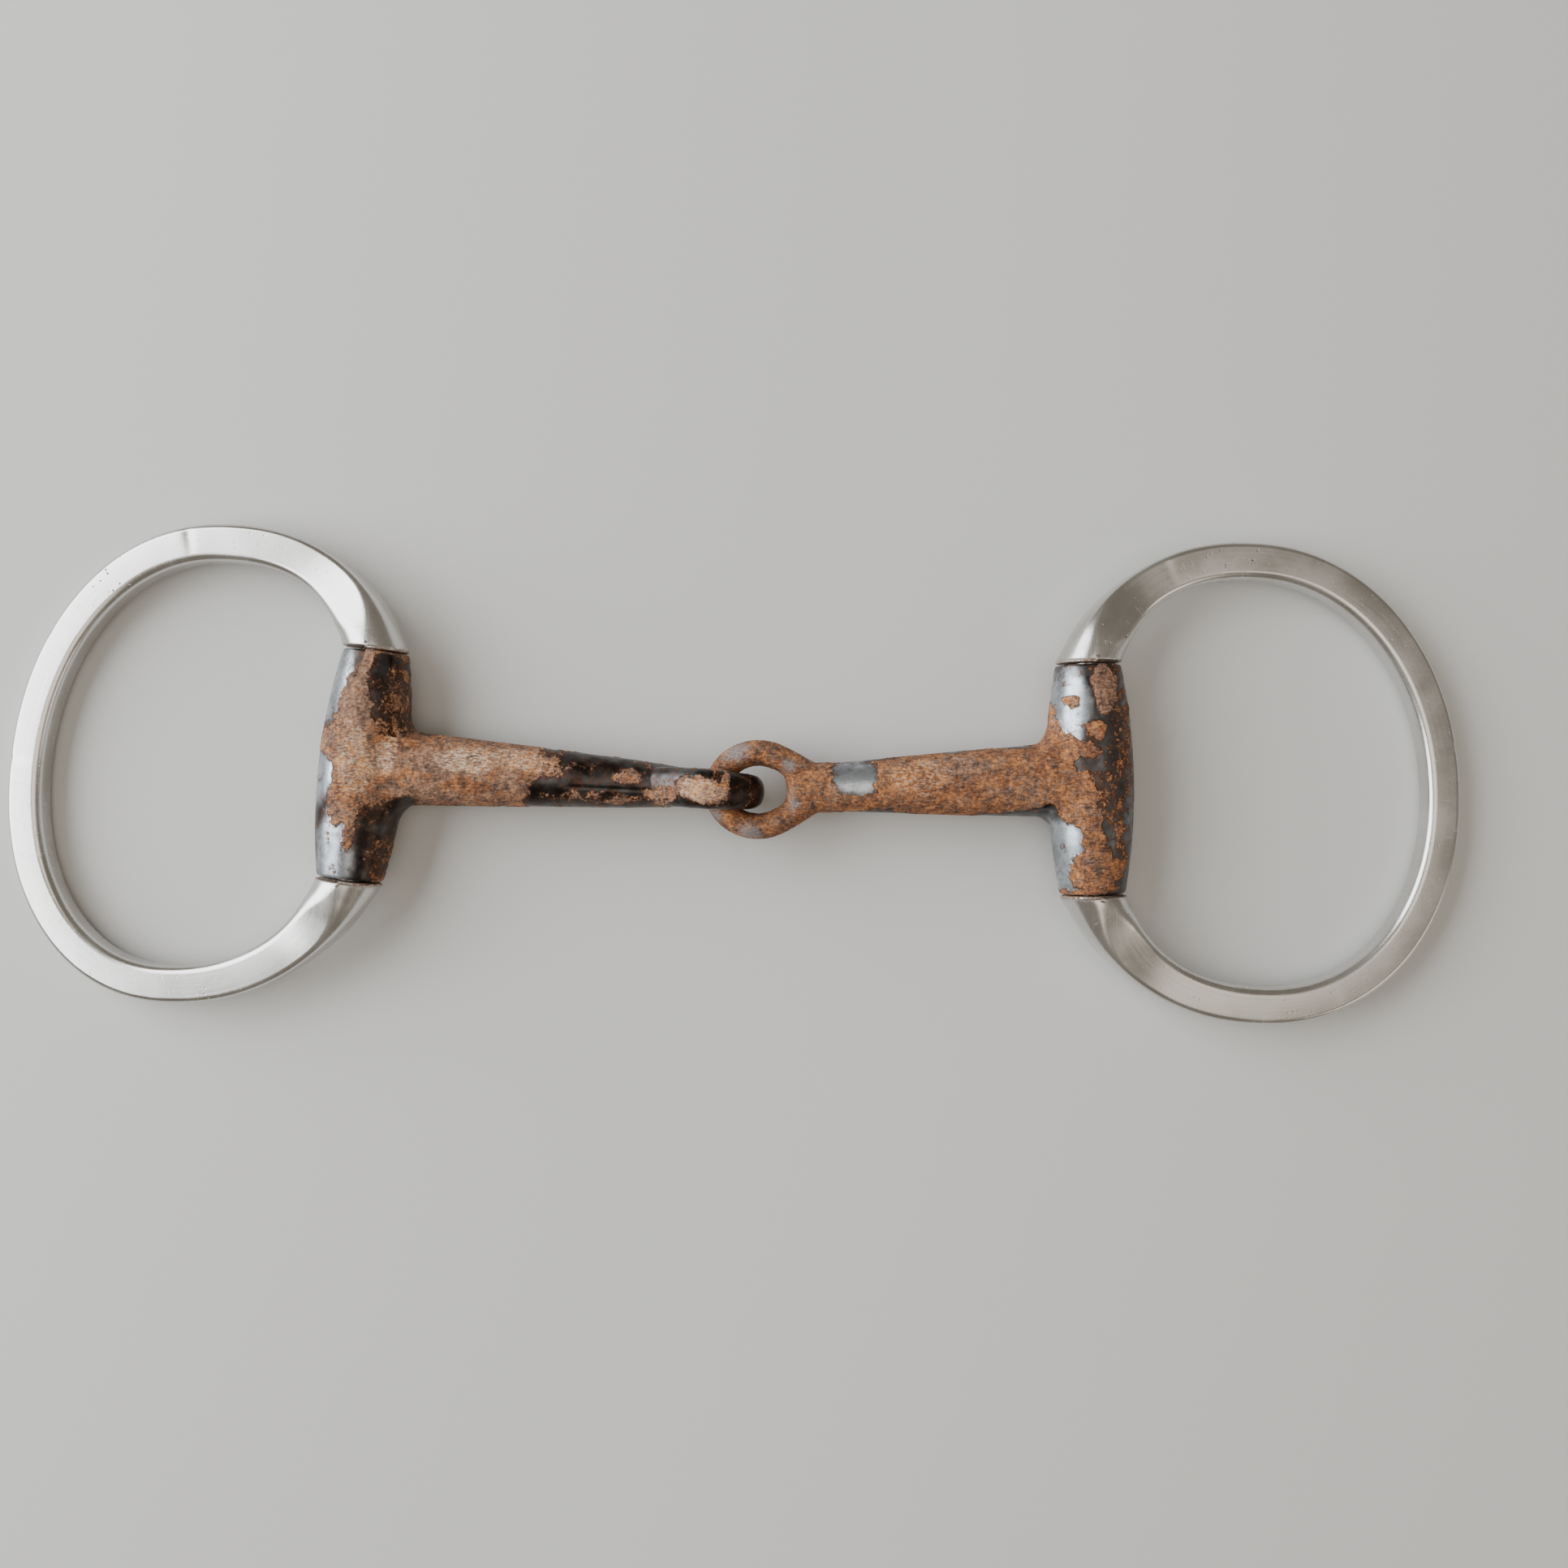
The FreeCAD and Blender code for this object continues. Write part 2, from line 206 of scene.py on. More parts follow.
ARMS = {
    "left_mouthpiece_arm": {
        "body": "left_arm",
        "freshness": 0.5,
        "rust": [
            (1.0, -66.6, 3.2, 9.5, 8.2, 0),
            (1.0, -67.6, 13.5, 3.0, 6.5, -12),
            (0.8, -66.0, 20.0, 1.3, 3.2, 0),
            (0.7, -62.0, 22.0, 5.0, 0.9, -7),
            (1.0, -47.0, 0.4, 14.5, 8.0, -4),
            (0.0, -62.0, 16.2, 3.9, 4.8, -7),
            (0.0, -73.0, 17.5, 2.6, 7.5, -12),
            (0.0, -75.6, 0.2, 3.4, 4.8, -7),
            (0.0, -71.8, -14.0, 5.0, 6.0, -7),
            (0.0, -66.2, -12.4, 2.6, 4.5, 0),
            (0.9, -70.6, -6.6, 2.6, 2.6, 10),
            (0.55, -69.2, -11.0, 1.2, 2.6, 0),
            (0.0, -34.0, -3.2, 4.5, 2.6, 28),
            (0.6, -19.2, -0.6, 2.6, 1.2, 0),
            (0.8, -13.0, -4.0, 3.2, 1.6, 0),
            (1.0, -5.6, -2.6, 4.4, 2.3, -12),
            (0.8, -5.2, 1.8, 1.5, 0.7, 0),
            (0.6, -0.9, -0.6, 0.8, 3.0, 0),
            (0.6, -24.0, 4.3, 9.0, 0.7, -7),
            (0.36, -24.0, -4.4, 13.0, 1.0, -2),
            (0.36, -61.0, 13.0, 4.0, 7.0, -7),
            (0.36, -64.0, -16.0, 2.6, 5.0, -7),
        ],
        "tone": [
            (0.85, -60.5, 6.2, 4.0, 1.4, -5),
            (0.8, -69.8, -3.4, 1.6, 3.0, 20),
            (0.2, -54.0, 2.6, 6.0, 2.4, -4),
            (0.15, -56.0, -3.6, 6.0, 1.3, -4),
            (1.0, -48.0, -2.0, 4.8, 1.2, -4),
            (0.75, -35.5, 1.8, 3.2, 2.4, -4),
            (0.25, -41.5, -2.6, 2.4, 1.2, 0),
            (0.1, -67.0, 15.0, 3.0, 8.0, -10),
        ],
        "pale": [
            (1.0, -62.6, 3.4, 1.7, 3.3, 0),
            (0.9, -48.0, 2.6, 5.5, 2.2, -4),
            (0.5, -67.8, 2.0, 3.5, 5.5, 0),
            (0.6, -38.0, 2.6, 5.0, 1.8, -10),
            (0.5, -5.6, -2.6, 4.0, 2.0, -12),
        ],
        # Blue: bare blue-grey oxide, brightest on the barrel's flanks, where it is a painted highlight
        # of the window.
        "blue": [
            (1.0, -72.6, 17.5, 2.8, 7.5, -12),
            (1.0, -75.4, 0.2, 3.4, 5.5, -7),
            (0.9, -72.5, -14.0, 3.8, 7.0, -7),
            (0.0, -63.5, -13.5, 2.6, 8.0, -7),
            (0.2, -9.0, 0.6, 3.0, 1.6, 0),
            (0.0, 3.0, -2.0, 4.0, 6.0, 0),
        ],
    },
    "right_mouthpiece_arm": {
        "body": "right_arm",
        "freshness": 0.85,
        "rust": [
            (1.0, 6.0, -3.2, 13.5, 12.0, 0),
            (1.0, 44.5, -1.0, 18.5, 7.0, 2),
            (0.0, 22.6, -0.9, 4.3, 3.3, 0),
            (0.9, 23.5, -5.4, 7.5, 1.1, 2),
            (0.0, 45.0, 5.9, 11.0, 1.4, 3),
            (0.0, 53.5, -7.4, 8.0, 1.2, 2),
            (1.0, 58.0, 6.6, 5.0, 2.0, -12),
            (0.0, 61.8, 12.6, 3.8, 5.6, 0),
            (0.0, 60.0, -14.6, 3.8, 6.4, 0),
            (1.0, 61.5, 4.6, 5.0, 1.8, 0),
            (1.0, 62.6, -4.4, 3.8, 5.4, 15),
            (1.0, 65.4, -11.4, 1.6, 3.2, 12),
            (1.0, 66.2, -17.8, 4.3, 4.0, 0),
            (0.9, 67.6, 15.8, 2.3, 4.4, 0),
            (0.9, 58.2, 10.0, 1.2, 3.6, 0),
            (0.9, 61.4, 12.9, 1.3, 1.2, 0),
            (0.8, 66.0, 8.2, 1.8, 1.4, 0),
            (0.8, 64.5, -21.6, 6.5, 0.7, 1),
            (0.0, 63.7, 1.3, 2.3, 1.1, 0),
            (0.5, 70.0, -8.0, 0.8, 6.0, 0),
            (0.34, 70.5, 6.0, 2.2, 14.0, 0),
            (0.34, 68.0, -3.0, 1.6, 6.0, 0),
        ],
        "tone": [
            (0.7, 12.0, -3.0, 8.0, 9.0, 0),
            (0.35, 41.0, 1.8, 7.0, 1.6, 2),
            (0.9, 34.0, -1.0, 4.0, 2.2, 0),
            (0.55, 55.0, -3.2, 7.0, 2.4, 0),
            (1.0, 57.2, 7.2, 3.0, 1.2, -12),
            (0.8, 62.6, -5.0, 3.4, 4.0, 15),
            (0.75, 66.0, -17.0, 4.0, 4.0, 0),
            (0.2, 67.6, 15.8, 2.6, 5.0, 0),
        ],
        "pale": [
            (0.35, 34.0, -0.5, 5.0, 3.0, 0),
            (0.3, 61.0, 13.0, 3.0, 6.0, 0),
        ],
        # Blue: bare blue-grey oxide, brightest on the barrel's flanks, where it is a painted highlight
        # of the window.
        "blue": [
            (1.0, 22.6, -0.9, 4.6, 3.6, 0),
            (1.0, 60.8, 12.6, 3.6, 7.0, 0),
            (1.0, 59.8, -14.6, 4.0, 7.4, 0),
            (0.25, 70.5, 0.0, 4.0, 22.0, 0),
        ],
    },
}

# Where the crests of an eye are rubbed to bare metal and carry a painted highlight: (x, y, z, radius).

RUBBED_FADE = 1.5
RUBBED_AND_HIGHLIT = {
    "left_mouthpiece_arm": [],
    "right_mouthpiece_arm": [
        (10.3, 1.6, 12.6, 1.7),
        (11.0, -5.4, 12.8, 1.5),
        (3.0, -11.3, 12.4, 3.2),
        (-3.6, -7.6, 12.0, 2.4),
        (0.5, 4.4, 12.4, 3.4),
    ],
}

# Thin hollows along a neck: (x, y at the start, x, y at the end, depth, half breadth).

CREASES = {
    "left_mouthpiece_arm": [(-31.0, -2.3, -10.5, -3.3, 0.16, 0.35)],
    "right_mouthpiece_arm": [],
}

# --- colours ------------------------------------------------------------------------------------

STEEL_DULL = (0.60, 0.58, 0.555, 1)
STEEL_CLEAN = (0.67, 0.66, 0.645, 1)
STEEL_SHADE = (0.50, 0.49, 0.47, 1)
STEEL_BRIGHT = (0.82, 0.81, 0.79, 1)
PIT_COLOUR = (0.05, 0.042, 0.035, 1)
JOINT_STAIN = (0.20, 0.095, 0.04, 1)
OXIDE_BLACK = (0.022, 0.017, 0.015, 1)
# Partly bare blue-grey oxide and partly a painted highlight: its brightness stands in for the window's
# reflection on the barrels' flanks.
OXIDE_BLUE_AND_HIGHLIGHT = (0.44, 0.475, 0.51, 1)
OXIDE_DULL = (0.036, 0.027, 0.023, 1)
OXIDE_SPECK = (0.24, 0.19, 0.15, 1)
OXIDE_STAIN = (0.105, 0.045, 0.024, 1)
PALE_DEPOSIT = (0.80, 0.66, 0.50, 1)
# Worn grey iron on the rubbed crests, which also serves as a painted highlight.
WORN_IRON_AND_HIGHLIGHT = (0.33, 0.32, 0.33, 1)
PIN_STEEL = (0.50, 0.49, 0.47, 1)
PIN_FILM = (0.22, 0.13, 0.08, 1)
FLOOR_COLOUR = (0.62, 0.62, 0.61, 1)
ROOM_COLOUR = (0.80, 0.72, 0.60, 1)

# Rust from its deepest pores to its dry crests: (value, colour).
FRESH_RUST = [
    (0.0, (0.06, 0.023, 0.012)),
    (0.3, (0.23, 0.08, 0.028)),
    (0.55, (0.48, 0.195, 0.066)),
    (0.8, (0.69, 0.36, 0.145)),
    (1.0, (0.81, 0.57, 0.34)),
]
OLD_RUST = [
    (0.0, (0.06, 0.034, 0.024)),
    (0.3, (0.24, 0.123, 0.076)),
    (0.55, (0.45, 0.26, 0.163)),
    (0.8, (0.65, 0.44, 0.29)),
    (1.0, (0.80, 0.64, 0.49)),
]

# --- textures: noise in the materials -----------------------------------------------------------

# Noise as (size in millimetres, detail, roughness), and the range that most of it lies in.
NOISE_RANGE = (0.3, 0.7)
STEEL_SMUDGE = (12.0, 4.0, 0.55)
STEEL_FINE = (0.5, 4.0, 0.6)
STEEL_PIT_CHANCE = (1.4, 2.0, 0.5)
STEEL_PIT_SPACING = 0.9
IRON_COARSE = (3.2, 5.0, 0.6)
IRON_CLUMP = (1.3, 5.0, 0.65)
IRON_GRAIN = (0.5, 5.0, 0.72)
IRON_FINE = (0.20, 3.0, 0.6)
IRON_FIBRE = (0.34, 4.0, 0.7)
IRON_FIBRE_STRETCH = (0.35, 1.0, 0.7)
IRON_FIBRE_TURN = 20
PIN_TURNING = (0.6, 3.0, 0.6)
PIN_TURNING_STRETCH = (0.1, 4.0, 0.1)
PIN_STAINING = (2.0, 4.0, 0.6)

# Streaks along and round a bar as (stretch, turn, detail).
SATIN_STREAKS = ((0.04, 4.0, 1), 0, 5.0)
SLANTED_SCRATCHES = ((3.2, 0.16, 1), 24, 4.0)
CROSSING_SCRATCHES = ((4.2, 0.11, 1), -17, 4.0)
STREAK_ROUGHNESS = 0.6

# Where a noise becomes a feature: the value at which it starts, and the value at which it is whole.
SLANTED_FADES = (0.66, 0.72)
CROSSING_FADES = (0.67, 0.73)
STEEL_PIT_FADES = (0.34, 0.16)
STEEL_PIT_CHANCE_FADES = (0.56, 0.66)
STAIN_PATCHES = (0.35, 0.62)
SMUDGE_FADES = (0.35, 0.65)
DULL_FADES = (0.40, 0.66)
SPECK_FADES = (0.62, 0.78)
CRUST_EDGE = (0.42, 0.54)
HALO_EDGE = (0.08, 0.46)
EDGE_GRAINS = (0.25, 0.75, -0.28, 0.28)
WEAR_GRAINS = (0.25, 0.75, -0.5, 0.2)
WEAR_EDGE = (0.1, 0.9, 0.0, 0.75)
FRESH_FADES = (0.25, 0.95)
DEPOSIT_FADES = (0.47, 0.62)
PIN_FILM_FADES = (0.4, 0.65)

# Roughness as (smoothest, roughest), and what is added by scratches, wear, the brown halo round
# the rust and the crust, or taken away where the iron is rubbed, on the crests with a painted highlight.
STEEL_ROUGHNESS = (0.21, 0.29)
OXIDE_ROUGHNESS = (0.26, 0.38)
PIN_ROUGHNESS = (0.3, 0.55)
SCRATCH_ROUGHNESS = 0.10
WORN_ROUGHNESS = 0.4
HALO_ROUGHNESS = 0.12
CRUST_ROUGHNESS = 0.42
RUBBED_SHINE = 0.35

# Bumps as (depth in millimetres, strength).
SATIN_BUMP = (0.006, 0.4)
SCRATCH_BUMP = (0.012, 0.5)
STEEL_PIT_BUMP = (0.10, 0.8)
OXIDE_BUMP = (0.10, 0.25)
CRUST_BUMP = (0.28, 0.9)
FINE_BUMP = (0.03, 0.35)
PIN_BUMP = (0.02, 0.5)

# --- camera and lights: the camera looks straight down, and a window is on the left -------------

CAMERA_AT = (9.35, -1.80, 319.0)
CAMERA_FIELD = 50.0
CAMERA_CLIP = 10.0
FLOOR_HALF_SIZE = 1.5
FLOOR_ROUGHNESS = 0.9
ROOM_LIGHT = 0.30

# Area lights, in metres: (name, place, width, height, watts, colour). They all face the bit.
LIGHTS = [
    ("window", (-0.82, 0.24, 0.53), 1.1, 0.93, 21, (0.93, 0.97, 1.0)),
    ("ceiling", (0.1, -0.1, 1.2), 0.9, 0.9, 4, (1.0, 0.92, 0.82)),
    ("fill", (0.9, -0.5, 0.5), 0.6, 0.5, 1.5, (1.0, 0.88, 0.75)),
]


def soft_step(start, end, value):
    """0 before start and 1 after end, with a smooth change between; end may be the lower one."""
    share = np.clip((value - start) / (end - start), 0, 1)
    return share * share * (3 - 2 * share)


def between(start, end, share):
    return start + (end - start) * np.clip(share, 0, 1)


def cloud(places, size, octaves, seed):
    """Fractal noise, about -1 to 1, with features of that size."""
    shift = Vector((seed * 17.3, seed * 5.1, seed * 9.7))
    values = [noise.fractal(Vector(p) / size + shift, 0.9, 2.0, octaves) for p in places]
    return np.array(values)


def wandered(places, size, reach, seed):
    """The places moved about at random by up to reach, neighbours together."""
    shift = Vector((seed * 3.7, seed * 11.9, seed * 7.3))
    moves = [noise.noise_vector(Vector(p) / size + shift) for p in places]
    return places + reach * np.array(moves)


def painted(places, ground, strokes):
    """The value at each place after the strokes are painted over the ground."""
    value = ground.copy()
    for target, x, y, half_length, half_breadth, turn in strokes:
        c, s = math.cos(math.radians(turn)), math.sin(math.radians(turn))
        dx, dy = places[:, 0] - x, places[:, 1] - y
        along = (dx * c + dy * s) / half_length
        across = (dy * c - dx * s) / half_breadth
        inside = soft_step(*STROKE_FADES, np.hypot(along, across))
        value += (target - value) * inside
    return value


def smoothed(places, edges, rounds, amount):
    """Places moved towards the middle of their neighbours, a number of times."""
    count = np.bincount(edges.ravel(), minlength=len(places))[:, None]
    amount = np.reshape(amount, (-1, 1))
    for _ in range(rounds):
        total = np.zeros_like(places)
        for axis in range(3):
            total[:, axis] += np.bincount(edges[:, 0], places[edges[:, 1], axis], len(places))
            total[:, axis] += np.bincount(edges[:, 1], places[edges[:, 0], axis], len(places))
        places = places + amount * (total / count - places)
    return places


def mesh_places(mesh):
    flat = np.empty(len(mesh.vertices) * 3)
    mesh.vertices.foreach_get("co", flat)
    return flat.reshape(-1, 3)


def mesh_normals(mesh):
    flat = np.empty(len(mesh.vertices) * 3)
    mesh.vertices.foreach_get("normal", flat)
    return flat.reshape(-1, 3)


def mesh_edges(mesh):
    flat = np.empty(len(mesh.edges) * 2, np.int32)
    mesh.edges.foreach_get("vertices", flat)
    return flat.reshape(-1, 2)


def set_places(mesh, places):
    mesh.vertices.foreach_set("co", places.astype(np.float32).ravel())
    mesh.update()


def store(mesh, name, values):
    """Keeps a number for each vertex, which a material can read by name."""
    attribute = mesh.attributes.new(name, "FLOAT", "POINT")
    attribute.data.foreach_set("value", values.astype(np.float32))


def finished_piece(name, mesh, material, body, node):
    """A mesh made in millimetres becomes a piece that rides on its body and stands for its node."""
    mesh.transform(Matrix.Scale(MM, 4))
    mesh.polygons.foreach_set("use_smooth", [True] * len(mesh.polygons))
    mesh.materials.clear()
    mesh.materials.append(material)
    piece = bpy.data.objects.new(name, mesh)
    bpy.context.scene.collection.objects.link(piece)
    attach(piece, body)
    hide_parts(node)
    return piece


# --- material nodes -----------------------------------------------------------------------------


def new_material(name):
    material = bpy.data.materials.new(name)
    material.use_nodes = True
    return material, material.node_tree, material.node_tree.nodes["Principled BSDF"]


def add(tree, kind, inputs, **settings):
    """A node whose inputs are numbers, colours or other nodes' outputs, by socket name or number."""
    node = tree.nodes.new(kind)
    for name, value in settings.items():
        setattr(node, name, value)
    for name, value in inputs.items():
        if isinstance(value, bpy.types.NodeSocket):
            tree.links.new(value, node.inputs[name])
        else:
            node.inputs[name].default_value = value
    return node


def read(tree, name):
    return add(tree, "ShaderNodeAttribute", {}, attribute_name=name).outputs["Fac"]


def calc(tree, operation, first, second):
    node = add(tree, "ShaderNodeMath", {0: first, 1: second}, operation=operation)
    return node.outputs[0]


def ramped(tree, value, start, end, low=0.0, high=1.0):
    """The value brought smoothly from the range start to end to the range low to high."""
    inputs = {"Value": value, "From Min": start, "From Max": end, "To Min": low, "To Max": high}
    node = add(tree, "ShaderNodeMapRange", inputs, interpolation_type="SMOOTHSTEP")
    return node.outputs["Result"]


def mixed(tree, share, first, second):
    node = add(tree, "ShaderNodeMix", {0: share, 6: first, 7: second}, data_type="RGBA")
    return node.outputs[2]


def coloured(tree, value, stops):
    """The colour for a value from 0 to 1, by a ramp through the stops."""
    node = add(tree, "ShaderNodeValToRGB", {"Fac": value})
    ramp = node.color_ramp
    while len(ramp.elements) < len(stops):
        ramp.elements.new(0.5)
    for element, (position, colour) in zip(ramp.elements, stops, strict=True):
        element.position = position
        element.color = (*colour, 1)
    return node.outputs["Color"]


def varied(tree, texture, low, high):
    """Noise brought from its usual range to low and high."""
    return ramped(tree, texture, *NOISE_RANGE, low, high)


def scaled(tree, value, factor):
    return calc(tree, "MULTIPLY", value, factor)


def summed(tree, first, *others):
    for value in others:
        first = calc(tree, "ADD", first, value)
    return first


def grained(tree, where, texture):
    """Noise from one of the textures above."""
    size, detail, roughness = texture
    inputs = {"Vector": where, "Scale": 1 / (size * MM), "Detail": detail, "Roughness": roughness}
    return add(tree, "ShaderNodeTexNoise", inputs).outputs["Fac"]


def bumped(tree, height, bump, under=None):
    """One of the bumps above, over another bump's result if one is given."""
    depth, strength = bump
    inputs = {"Height": height, "Distance": depth * MM, "Strength": strength}
    if under is not None:
        inputs["Normal"] = under
    return add(tree, "ShaderNodeBump", inputs).outputs["Normal"]


def stretched(tree, where, scale, turn=0.0):
    node = add(tree, "ShaderNodeMapping", {"Vector": where, "Scale": scale})
    node.inputs["Rotation"].default_value = (0, 0, math.radians(turn))
    return node.outputs["Vector"]


def streaked(tree, where, streaks):
    """Noise drawn out into streaks, from the map along and round the bar in millimetres."""
    scale, turn, detail = streaks
    inputs = {"Vector": stretched(tree, where, scale, turn), "Scale": 1.0, "Detail": detail}
    inputs["Roughness"] = STREAK_ROUGHNESS
    return add(tree, "ShaderNodeTexNoise", inputs).outputs["Fac"]


def steel_material():
    """Worn satin stainless steel: fine scratches along the bar, odd ones across it, and pits."""
    material, tree, shader = new_material("satin_steel")
    where = add(tree, "ShaderNodeTexCoord", {}).outputs["Object"]
    bar = add(tree, "ShaderNodeUVMap", {}, uv_map="bar").outputs["UV"]
    satin = streaked(tree, bar, SATIN_STREAKS)
    slanted = ramped(tree, streaked(tree, bar, SLANTED_SCRATCHES), *SLANTED_FADES)
    crossing = ramped(tree, streaked(tree, bar, CROSSING_SCRATCHES), *CROSSING_FADES)
    scratch = calc(tree, "MAXIMUM", slanted, crossing)
    smudge = grained(tree, where, STEEL_SMUDGE)
    cells = {"Vector": where, "Scale": 1 / (STEEL_PIT_SPACING * MM)}
    to_cell = add(tree, "ShaderNodeTexVoronoi", cells).outputs["Distance"]
    dot = ramped(tree, to_cell, *STEEL_PIT_FADES)
    chance = ramped(tree, grained(tree, where, STEEL_PIT_CHANCE), *STEEL_PIT_CHANCE_FADES)
    pit = scaled(tree, scaled(tree, dot, chance), read(tree, "pitted"))
    patchy = ramped(tree, grained(tree, where, STEEL_FINE), *STAIN_PATCHES)
    stain = scaled(tree, read(tree, "stain"), patchy)

    colour = mixed(tree, ramped(tree, smudge, *SMUDGE_FADES), STEEL_DULL, STEEL_CLEAN)
    colour = mixed(tree, varied(tree, satin, 0.0, 0.14), colour, STEEL_SHADE)
    colour = mixed(tree, scaled(tree, scratch, 0.3), colour, STEEL_BRIGHT)
    colour = mixed(tree, pit, colour, PIT_COLOUR)
    colour = mixed(tree, stain, colour, JOINT_STAIN)
    tree.links.new(colour, shader.inputs["Base Color"])
    tree.links.new(ramped(tree, stain, 0.0, 1.0, 1.0, 0.25), shader.inputs["Metallic"])

    polish = varied(tree, smudge, *STEEL_ROUGHNESS)
    streaky = ramped(tree, satin, 0.3, 0.75, -0.02, 0.05)
    worn = scaled(tree, calc(tree, "MAXIMUM", pit, stain), WORN_ROUGHNESS)
    scratched = scaled(tree, scratch, SCRATCH_ROUGHNESS)
    roughness = summed(tree, polish, streaky, scratched, worn)
    tree.links.new(roughness, shader.inputs["Roughness"])

    surface = bumped(tree, satin, SATIN_BUMP)
    surface = bumped(tree, scaled(tree, scratch, -1.0), SCRATCH_BUMP, surface)
    surface = bumped(tree, scaled(tree, pit, -1.0), STEEL_PIT_BUMP, surface)
    tree.links.new(surface, shader.inputs["Normal"])
    return material


def oxide_colour(tree, coarse, fine, halo):
    """Blue-black oxide, lighter blue-grey where the blue layer is painted, which is partly bare oxide
    and partly a painted highlight; dull in places, speckled, and stained brown round the rust.
    """
    colour = mixed(tree, read(tree, "blue"), OXIDE_BLACK, OXIDE_BLUE_AND_HIGHLIGHT)
    colour = mixed(tree, ramped(tree, coarse, *DULL_FADES, 0.0, 0.45), colour, OXIDE_DULL)
    colour = mixed(tree, ramped(tree, fine, *SPECK_FADES, 0.0, 0.3), colour, OXIDE_SPECK)
    return mixed(tree, scaled(tree, halo, 0.8), colour, OXIDE_STAIN)


def rust_colour(tree, coarse, clump, grain, fibre):
    """Old brown and fresh orange rust, lighter on its grains, with a pale deposit in places."""
    shade = summed(
        tree,
        varied(tree, grain, 0.10, 0.43),
        varied(tree, fibre, 0.06, 0.26),
        varied(tree, clump, -0.16, 0.20),
        varied(tree, coarse, -0.16, 0.10),
        ramped(tree, read(tree, "pale"), 0.0, 0.6, -0.14, 0.08),
    )
    fresh_share = summed(tree, read(tree, "tone"), varied(tree, clump, -0.45, 0.45))
    fresh = coloured(tree, shade, FRESH_RUST)
    old = coloured(tree, shade, OLD_RUST)
    colour = mixed(tree, ramped(tree, fresh_share, *FRESH_FADES), old, fresh)
    deposit = scaled(tree, read(tree, "pale"), ramped(tree, fibre, *DEPOSIT_FADES))
    return mixed(tree, scaled(tree, deposit, 0.9), colour, PALE_DEPOSIT)


def iron_material():
    """Sweet iron: a smooth blue-black oxide under a granular crust of rust, with painted highlights in
    its blue-grey parts and on its rubbed crests.
    """
    material, tree, shader = new_material("sweet_iron_rust")
    where = add(tree, "ShaderNodeTexCoord", {}).outputs["Object"]
    coarse = grained(tree, where, IRON_COARSE)
    clump = grained(tree, where, IRON_CLUMP)
    grain = grained(tree, where, IRON_GRAIN)
    fine = grained(tree, where, IRON_FINE)
    fibre = grained(tree, stretched(tree, where, IRON_FIBRE_STRETCH, IRON_FIBRE_TURN), IRON_FIBRE)
    edge = summed(tree, read(tree, "rust"), ramped(tree, grain, *EDGE_GRAINS))
    crust = ramped(tree, edge, *CRUST_EDGE)
    halo = ramped(tree, edge, *HALO_EDGE)
    wear = summed(tree, read(tree, "rubbed"), ramped(tree, grain, *WEAR_GRAINS))
    rubbed = ramped(tree, wear, *WEAR_EDGE)

    oxide = oxide_colour(tree, coarse, fine, halo)
    rust = rust_colour(tree, coarse, clump, grain, fibre)
    # Rubbed crests turn to worn grey iron, partly wear and partly a painted highlight.
    colour = mixed(tree, rubbed, mixed(tree, crust, oxide, rust), WORN_IRON_AND_HIGHLIGHT)
    tree.links.new(colour, shader.inputs["Base Color"])
    bare = scaled(tree, calc(tree, "SUBTRACT", 1.0, crust), 0.88)
    tree.links.new(calc(tree, "MAXIMUM", bare, rubbed), shader.inputs["Metallic"])

    polish = varied(tree, coarse, *OXIDE_ROUGHNESS)
    brown = scaled(tree, halo, HALO_ROUGHNESS)
    roughness = summed(tree, polish, brown, scaled(tree, crust, CRUST_ROUGHNESS))
    roughness = calc(tree, "SUBTRACT", roughness, scaled(tree, rubbed, RUBBED_SHINE))
    tree.links.new(roughness, shader.inputs["Roughness"])

    granules = summed(tree, grain, scaled(tree, fibre, 0.7))
    surface = bumped(tree, coarse, OXIDE_BUMP)
    surface = bumped(tree, scaled(tree, crust, granules), CRUST_BUMP, surface)
    surface = bumped(tree, fine, FINE_BUMP, surface)
    tree.links.new(surface, shader.inputs["Normal"])
    return material


def pin_material():
    """Turned steel with fine rings round it and a brown film."""
    material, tree, shader = new_material("turned_pin_steel")
    where = add(tree, "ShaderNodeTexCoord", {}).outputs["Object"]
    turned = grained(tree, stretched(tree, where, PIN_TURNING_STRETCH), PIN_TURNING)
    film = grained(tree, where, PIN_STAINING)
    colour = mixed(tree, ramped(tree, film, *PIN_FILM_FADES), PIN_STEEL, PIN_FILM)
    tree.links.new(colour, shader.inputs["Base Color"])
    tree.links.new(varied(tree, film, *PIN_ROUGHNESS), shader.inputs["Roughness"])
    shader.inputs["Metallic"].default_value = 1.0
    tree.links.new(bumped(tree, turned, PIN_BUMP), shader.inputs["Normal"])
    return material


# --- rings ----------------------------------------------------------------------------------------


